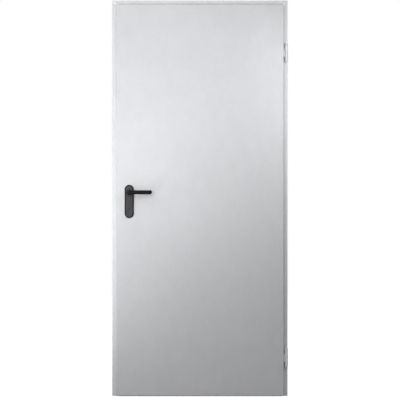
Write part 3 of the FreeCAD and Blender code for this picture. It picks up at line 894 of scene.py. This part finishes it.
@dataclass
class CrossScrew:
    """A flat screw head with a cross recess."""

    radius: float = 3.8 * MM
    rise: float = 0.35 * MM
    rounding: float = 0.5
    margin: float = 0.3
    recess_reach: float = 0.65
    recess: float = 1.1 * MM
    arm: float = 0.55 * MM
    level_slack: float = 0.99

    def shape(self, centre: Vector, way: Vector) -> Shape:
        """Model the head.

        Args:
            centre: The middle of its seat.
            way: Where it faces.

        Returns:
            The head as a closed shape.
        """
        head, top = round_head(self.radius, self.rise, self.rise * self.rounding, steps=2)
        bmesh.ops.inset_region(head, faces=[top], thickness=self.radius * self.margin)
        for axis in ((1, 0, 0), (0, 1, 0)):
            for side in (-1, 1):
                region = [f for f in head.faces if self._inner(f)]
                edges = list(dict.fromkeys(e for f in region for e in f.edges))
                corners = list(dict.fromkeys(v for f in region for v in f.verts))
                cut = Vector(axis) * side * self.arm
                bmesh.ops.bisect_plane(
                    head, geom=region + edges + corners, plane_co=cut, plane_no=axis
                )
        cross = [f for f in head.faces if self._inner(f) and self._on_arm(f)]
        extrude(head, cross, Vector((0, 0, -self.recess)))
        bmesh.ops.recalc_face_normals(head, faces=head.faces)
        stand(head, centre, way)
        return head

    def _inner(self, face: Face) -> bool:
        """Whether a face lies on the head's top inside the recess's circle."""
        middle = face.calc_center_median()
        on_top = middle.z > self.rise * self.level_slack
        return on_top and Vector(middle[:2]).length < self.radius * self.recess_reach

    def _on_arm(self, face: Face) -> bool:
        """Whether a face lies on one of the cross's two arms."""
        middle = face.calc_center_median()
        return min(abs(middle.x), abs(middle.y)) < self.arm


@dataclass
class CornerFrame:
    """The folded frame: jambs, head, floor rail, strike, anchors and seals."""

    effects: Effects
    weld: bpy.types.Material
    face_width: float = 30 * MM
    corner_round: float = 2.5 * MM
    rivet_inset: float = 8 * MM
    anchor_bead: float = 1.4 * MM
    anchor_inset: float = 4 * MM
    rail_bead: float = 1.2 * MM
    rail_sheet: float = 1.5 * MM
    foot_insets: Span = (6 * MM, 3 * MM)
    stop_insets: Span = (5 * MM, 2 * MM)

    def build(self) -> None:
        """Dress the frame, weld it together and rivet the strike plate on."""
        # The frame's zinc is set lighter than the leaf's: painted light on the frame's face
        # strips.
        sheet = ZincSheet(
            "frame_zinc", light=(0.70, 0.708, 0.723), dark=(0.63, 0.639, 0.654), roughness=0.48
        ).material(self.effects)
        bracket = ZincSheet(
            "bracket_zinc", light=(0.58, 0.59, 0.60), dark=(0.50, 0.51, 0.53), roughness=0.52
        ).material(self.effects)
        seal = SealRubber("door_seal").material(self.effects)
        for node in ("frame_jamb_hinge", "frame_jamb_lock", "frame_head"):
            dress(node, sheet)
        for node in ("floor_rail", "strike_plate"):
            dress(node, bracket)
        for side in ("hinge", "lock"):
            for level in ("bottom", "middle", "top"):
                dress(f"wall_anchor_{side}_{level}", bracket)
        for side in ("hinge", "lock", "head"):
            dress(f"frame_seal_{side}", seal)
        self.mitres()
        self.anchor_welds()
        self.rail_welds()
        self.strike_rivets()

    def mitres(self) -> None:
        """Close the corner joints on the frame's face with a weld ground nearly flat."""
        low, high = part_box("frame_head")
        # The ground weld strips are real; their lighter zinc is a painted highlight on the corner
        # joints.
        mitre_highlight_zinc = ZincSheet(
            "mitre_zinc",
            light=(0.80, 0.805, 0.815),
            dark=(0.74, 0.745, 0.755),
            metallic=0.2,
            crystal=3 * MM,
        ).material(self.effects)
        strip = GroundWeld()
        start = self.corner_round + strip.width / 2
        reach = self.face_width - start - strip.width / 2
        for side, name in ((-1, "lock"), (1, "hinge")):
            outer = Vector((side * (high.x - start), low.y, high.z - start))
            inner = outer + Vector((-side * reach, 0.0, -reach))
            shape = strip.shape(outer, inner, Vector((0, -1, 0)))
            add_piece(f"mitre_weld_{name}", shape, mitre_highlight_zinc, Body.FRAME)

    def anchor_welds(self) -> None:
        """Weld each anchor's two legs to the reveal."""
        bead = WeldBead(radius=self.anchor_bead)
        for side, way in (("hinge", 1), ("lock", -1)):
            for level in ("bottom", "middle", "top"):
                node = f"wall_anchor_{side}_{level}"
                low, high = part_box(node)
                reveal = low.x if way > 0 else high.x
                levels = (low.z + self.anchor_inset, high.z - self.anchor_inset)
                for leg, y in (("front", low.y), ("back", high.y)):
                    shape = bead.shape(*(Vector((reveal, y, z)) for z in levels))
                    name = f"{node}_weld_{leg}"
                    add_piece(name, shape, self.weld, Body.FRAME)

    def rail_welds(self) -> None:
        """Weld both legs of the floor rail to the jambs' feet."""
        bead = WeldBead(radius=self.rail_bead)
        low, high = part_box("floor_rail")
        inner_y, inner_z = low.y + self.rail_sheet, low.z + self.rail_sheet
        depths = (low.y + self.foot_insets[0], high.y - self.foot_insets[1])
        levels = (low.z + self.stop_insets[0], high.z - self.stop_insets[1])
        for side, end in (("lock", low.x), ("hinge", high.x)):
            foot = [Vector((end, y, inner_z)) for y in depths]
            stop = [Vector((end, inner_y, z)) for z in levels]
            for leg, ends in (("foot", foot), ("stop", stop)):
                name = f"rail_weld_{side}_{leg}"
                add_piece(name, bead.shape(*ends), self.weld, Body.FRAME)

    def strike_rivets(self) -> None:
        """Fix the strike plate behind the rebate with two blind rivets."""
        low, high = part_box("strike_plate")
        steel = TurnedSteel(
            "rivet_zinc", (0.55, 0.56, 0.57), (0.45, 0.46, 0.47), metallic=0.6, roughness=0.42
        ).material(self.effects)
        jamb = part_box("frame_jamb_lock")[0].x + self.face_width
        depth = (low.y + high.y) / 2
        for name, z in (("bottom", low.z + self.rivet_inset), ("top", high.z - self.rivet_inset)):
            shape = RivetHead().shape(Vector((jamb, depth, z)), Vector((1, 0, 0)))
            add_piece(f"strike_rivet_{name}", shape, steel, Body.FRAME)


@dataclass
class HingePair:
    """The two three-part hinges and the welds that hold them."""

    effects: Effects
    weld: bpy.types.Material
    web: float = 6 * MM
    web_bead: float = 1.5 * MM
    web_inset: float = 2 * MM
    pad_width: float = 11 * MM
    pad_short: float = 2 * MM
    pad_to_axis: float = 15.5 * MM
    pad_bead: float = 1.1 * MM
    pad_inset: float = 1 * MM

    def build(self) -> None:
        """Dress both hinges and add their welds."""
        steel = TurnedSteel(
            "hinge_zinc", (0.50, 0.51, 0.52), (0.40, 0.41, 0.42), metallic=0.55, roughness=0.5
        ).material(self.effects)
        ring = TurnedSteel(
            "bearing_polish", (0.60, 0.60, 0.61), (0.54, 0.54, 0.55), metallic=0.8, roughness=0.42
        ).material(self.effects)
        for hinge in ("hinge_upper", "hinge_lower"):
            for part in ("top_knuckle", "bottom_knuckle", "leaf_knuckle", "pin", "washer"):
                dress(f"{hinge}_{part}", steel)
            dress(f"{hinge}_bearing", ring)
            self.frame_welds(hinge)
            self.leaf_welds(hinge)

    def frame_welds(self, hinge: str) -> None:
        """Weld a hinge's two outer knuckles to the frame's face.

        Args:
            hinge: The hinge's name.
        """
        bead = WeldBead(radius=self.web_bead)
        for part in ("top_knuckle", "bottom_knuckle"):
            low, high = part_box(f"{hinge}_{part}")
            axis = (low.x + high.x) / 2
            levels = (low.z + self.web_inset, high.z - self.web_inset)
            for side, place in ((-1, "inner"), (1, "outer")):
                across = axis + side * self.web / 2
                shape = bead.shape(*(Vector((across, high.y, z)) for z in levels))
                name = f"{hinge}_{part}_weld_{place}"
                add_piece(name, shape, self.weld, Body.FRAME)

    def leaf_welds(self, hinge: str) -> None:
        """Weld the strap's pad to the leaf's edge, along its front and over both ends.

        Args:
            hinge: The hinge's name.
        """
        bead = WeldBead(radius=self.pad_bead)
        low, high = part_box(f"{hinge}_leaf_knuckle")
        bottom, top = low.z + self.pad_short, high.z - self.pad_short
        axis = low.y + (high.x - low.x - self.pad_to_axis)
        front, back = axis - self.pad_width / 2, axis + self.pad_width / 2
        inset = self.pad_inset
        for edge, start, end in (
            ("front", (front, bottom + inset), (front, top - inset)),
            ("bottom", (front + inset, bottom), (back - inset, bottom)),
            ("top", (front + inset, top), (back - inset, top)),
        ):
            shape = bead.shape(Vector((low.x, *start)), Vector((low.x, *end)))
            name = f"{hinge}_pad_weld_{edge}"
            add_piece(name, shape, self.weld, Body.LEAF)


@dataclass
class Leaf:
    """The hollow leaf: front panel with its lip, and the back tray."""

    effects: Effects

    def build(self) -> None:
        """Dress both skins."""
        sheet = ZincSheet("leaf_zinc").material(self.effects)
        for node in ("leaf_front_skin", "leaf_back_skin"):
            dress(node, sheet)


@dataclass
class Lock:
    """The mortise lock in the leaf's edge."""

    effects: Effects
    screw_inset: float = 11 * MM
    lever_count: int = 3
    lever_width: float = 34 * MM
    lever_height: float = 30 * MM
    lever_sheet: float = 1.2 * MM
    lever_step: float = 1.5 * MM
    lever_round: float = 1 / 5
    lever_steps: int = 5

    def build(self) -> None:
        """Dress the lock, screw its forend down and hang its levers."""
        steel = TurnedSteel(
            "lock_zinc", (0.52, 0.515, 0.49), (0.44, 0.435, 0.41), metallic=0.7, roughness=0.42
        ).material(self.effects)
        for node in ("lock_case", "lock_forend", "handle_screws"):
            dress(node, steel)
        hard = TurnedSteel(
            "bolt_steel", (0.36, 0.36, 0.36), (0.28, 0.28, 0.28), metallic=0.8, roughness=0.36
        ).material(self.effects)
        for node in ("latch_bolt", "dead_bolt", "spindle"):
            dress(node, hard)
        low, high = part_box("lock_forend")
        middle = (low.y + high.y) / 2
        for name, z in (("top", high.z - self.screw_inset), ("bottom", low.z + self.screw_inset)):
            seat = Vector((low.x, middle, z))
            shape = CrossScrew().shape(seat, Vector((-1, 0, 0)))
            add_piece(f"forend_screw_{name}", shape, steel, Body.LEAF)
        self.levers()

    def levers(self) -> None:
        """Hang the lever plates behind the keyhole, inside the case."""
        # The lever plates are real parts of the lock; their near-black colour is painted shade
        # that darkens the keyhole.
        steel = TurnedSteel(
            "lever_dark_shade", (0.055, 0.05, 0.045), (0.03, 0.028, 0.025), metallic=0.2, roughness=0.6
        ).material(self.effects)
        low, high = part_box("lock_case")
        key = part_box("key_insert_front")
        across = (key[0].x + key[1].x) / 2
        gap = (high.y - low.y) / (self.lever_count + 1)
        for count in range(1, self.lever_count + 1):
            lift = self.lever_step * (count % 2)
            corner = Vector((across - self.lever_width / 2, low.y + gap * count, key[0].z + lift))
            shape = self.lever_plate(corner)
            add_piece(f"lock_lever_{count}", shape, steel, Body.LEAF)

    def lever_plate(self, corner: Vector) -> Shape:
        """Model a thin upright plate across Y, with round corners.

        Args:
            corner: Its lowest corner.

        Returns:
            The plate as a closed shape.
        """
        size = Vector((self.lever_width, self.lever_sheet, self.lever_height))
        plate = bmesh.new()
        bmesh.ops.create_cube(plate, size=1.0)
        bmesh.ops.scale(plate, vec=size, verts=plate.verts)
        through = [e for e in plate.edges if self._depth(e) > size.y / 2]
        bevel(plate, through, min(size.x, size.z) * self.lever_round, self.lever_steps)
        rim = [e for e in plate.edges if self._depth(e) < size.y / 2]
        bevel(plate, rim, size.y * self.lever_round, steps=1)
        bmesh.ops.translate(plate, vec=corner + size / 2, verts=plate.verts)
        return plate

    @staticmethod
    def _depth(edge: bmesh.types.BMEdge) -> float:
        """How far an edge runs along Y."""
        return abs(edge.verts[0].co.y - edge.verts[1].co.y)


@dataclass
class HandleSet:
    """Both cover plates, levers and key inserts."""

    effects: Effects
    # The second colour of each finish is painted shade on its sides; on the plate also on its rim
    # and collar, on the insert also in the keyhole.
    plate: MouldedNylon = PlateNylon(
        "plate_nylon", (0.080, 0.075, 0.081), (0.005, 0.005, 0.006), roughness=0.50, gloss=0.07
    )
    lever: MouldedNylon = MouldedNylon(
        "lever_nylon", (0.006, 0.006, 0.007), (0.004, 0.004, 0.005), roughness=0.42, gloss=0.07
    )
    insert: MouldedNylon = MouldedNylon(
        "insert_nylon",
        (0.068, 0.066, 0.070),
        (0.008, 0.008, 0.009),
        roughness=0.5,
        gloss=0.12,
        dust=0.03,
    )

    def build(self) -> None:
        """Dress the handle set."""
        for finish, nodes in (
            (self.plate, ("handle_plate_front", "handle_plate_back")),
            (self.lever, ("lever_front", "lever_back")),
            (self.insert, ("key_insert_front", "key_insert_back")),
        ):
            material = finish.material(self.effects)
            for node in nodes:
                dress(node, material)


@dataclass
class Lamp:
    """One soft studio lamp, aimed at the door."""

    name: str
    place: Vector
    side: float
    power: float
    aim_across: float = 0.0
    aim_level: float = 1.1

    def build(self) -> None:
        """Hang the lamp and turn it to the door."""
        light = bpy.data.lights.new(self.name, "AREA")
        light.shape = "SQUARE"
        light.size = self.side
        light.energy = self.power
        lamp = bpy.data.objects.new(self.name, light)
        lamp.location = self.place
        aim = Vector((self.aim_across, 0.0, self.aim_level)) - self.place
        lamp.rotation_euler = aim.to_track_quat("-Z", "Y").to_euler()
        lamp.visible_camera = False
        bpy.context.scene.collection.objects.link(lamp)


@dataclass
class Studio:
    """The floor, the white surroundings, the lamps and the camera."""

    photo_side: int = 400
    pixel: float = 5.186 * MM
    centre_pixel: tuple[float, float] = (199.85, 198.2)
    distance: float = 6.75
    sensor: float = 36.0
    view_depth: float = 100.0
    floor_radius: float = 7.0
    floor_segments: int = 96
    fill: float = 0.04
    lamps: tuple[Lamp, ...] = (
        Lamp("lamp_front", Vector((-0.6, -1.1, 2.0)), side=1.6, power=11.9),
        Lamp("lamp_left", Vector((-1.0, -0.6, 0.7)), side=0.9, power=5.9),
        Lamp("lamp_middle", Vector((-0.4, -1.2, 1.2)), side=0.8, power=3.9),
        Lamp("lamp_right", Vector((0.7, -1.0, 1.68)), side=0.8, power=6.3, aim_across=0.1),
        Lamp("lamp_side_left", Vector((-2.6, 0.9, 1.9)), side=1.6, power=20.0),
        Lamp("lamp_side_right", Vector((2.6, 0.9, 1.9)), side=1.6, power=18.0),
        Lamp("lamp_back", Vector((0.4, 3.2, 2.9)), side=2.2, power=55.0),
    )

    @staticmethod
    def seen_directly(wiring: Wiring) -> Socket:
        """1 for a ray from the camera, a mirror or glass, and 0 for light that scatters."""
        path = wiring.add("ShaderNodeLightPath")
        seen = path.outputs["Is Camera Ray"]
        for kind in ("Is Glossy Ray", "Is Transmission Ray"):
            seen = wiring.calc("MAXIMUM", seen, path.outputs[kind])
        return seen

    def build(self) -> None:
        """Set up everything round the door."""
        self.floor()
        self.surroundings()
        for lamp in self.lamps:
            lamp.build()
        self.camera()
        bpy.context.scene.view_settings.view_transform = "Standard"

    def floor(self) -> None:
        """Lay the pale floor."""
        shape = bmesh.new()
        bmesh.ops.create_circle(
            shape, cap_ends=True, segments=self.floor_segments, radius=self.floor_radius
        )
        mesh = bpy.data.meshes.new("studio_floor")
        shape.to_mesh(mesh)
        shape.free()
        mesh.materials.append(FloorCoat("floor_coat").material())
        floor = bpy.data.objects.new("studio_floor", mesh)
        bpy.context.scene.collection.objects.link(floor)

    def surroundings(self) -> None:
        """White to the camera and to mirrors, and a soft fill to everything else."""
        world = bpy.data.worlds.new("studio_white")
        world.use_nodes = True
        bpy.context.scene.world = world
        wiring = Wiring(world.node_tree)
        strength = wiring.spread(self.seen_directly(wiring), RISING, (self.fill, 1.0))
        background = world.node_tree.nodes["Background"]
        wiring.plug(background.inputs["Color"], _rgba(WHITE))
        wiring.plug(background.inputs["Strength"], strength)

    def camera(self) -> None:
        """Stand the camera where the photograph was taken, level and square to the door."""
        low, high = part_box("frame_head")
        across, down = (self.photo_side / 2 - c for c in self.centre_pixel)
        data = bpy.data.cameras.new("camera")
        data.sensor_width = self.sensor
        data.lens = self.sensor * self.distance / (self.photo_side * self.pixel)
        data.clip_end = self.view_depth
        camera = bpy.data.objects.new("camera", data)
        camera.location = Vector(
            (across * self.pixel, low.y - self.distance, high.z / 2 - down * self.pixel)
        )
        camera.rotation_euler = (math.pi / 2, 0.0, 0.0)
        bpy.context.scene.collection.objects.link(camera)
        bpy.context.scene.camera = camera


def main() -> None:
    """Build the door's looks and the studio round it."""
    logging.basicConfig(level=logging.INFO, format="%(name)s: %(message)s")
    effects = Effects()
    weld = ZincSheet(
        "weld_zinc", (0.74, 0.75, 0.76), (0.66, 0.67, 0.68), crystal=2 * MM, roughness=0.5
    ).material(effects)
    for assembly in (
        CornerFrame(effects, weld),
        HingePair(effects, weld),
        Leaf(effects),
        Lock(effects),
        HandleSet(effects),
        Studio(),
    ):
        assembly.build()
        log.info("%s is done", type(assembly).__name__)


if __name__ == "__main__":
    main()
